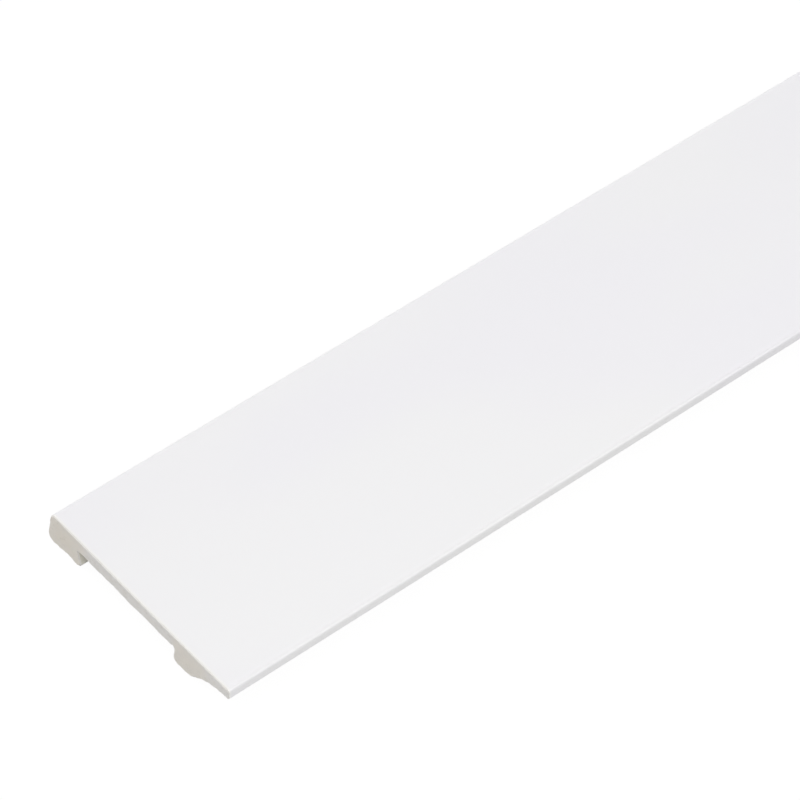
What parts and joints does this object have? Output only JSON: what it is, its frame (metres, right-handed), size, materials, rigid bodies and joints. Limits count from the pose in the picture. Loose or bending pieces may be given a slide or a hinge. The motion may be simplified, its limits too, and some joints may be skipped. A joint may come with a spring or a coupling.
{
  "type": "wall trim moulding",
  "caption": "Long flat wall trim moulding in white foamed plastic, with a thick rolled edge, a thin edge, a relieved back and square sawn ends.",
  "frame": {"origin": "on the wall plane, under the middle of the strip's length and width", "axes": "+X along the strip, +Y from the thin edge to the thick edge, +Z from the wall to the show face"},
  "size_m": [2.4384, 0.0888, 0.0127],
  "materials": {
    "white_foamed_plastic": "satin white skin"
  },
  "bodies": {
    "root": {"moulding": "white_foamed_plastic"}
  },
  "joints": []
}
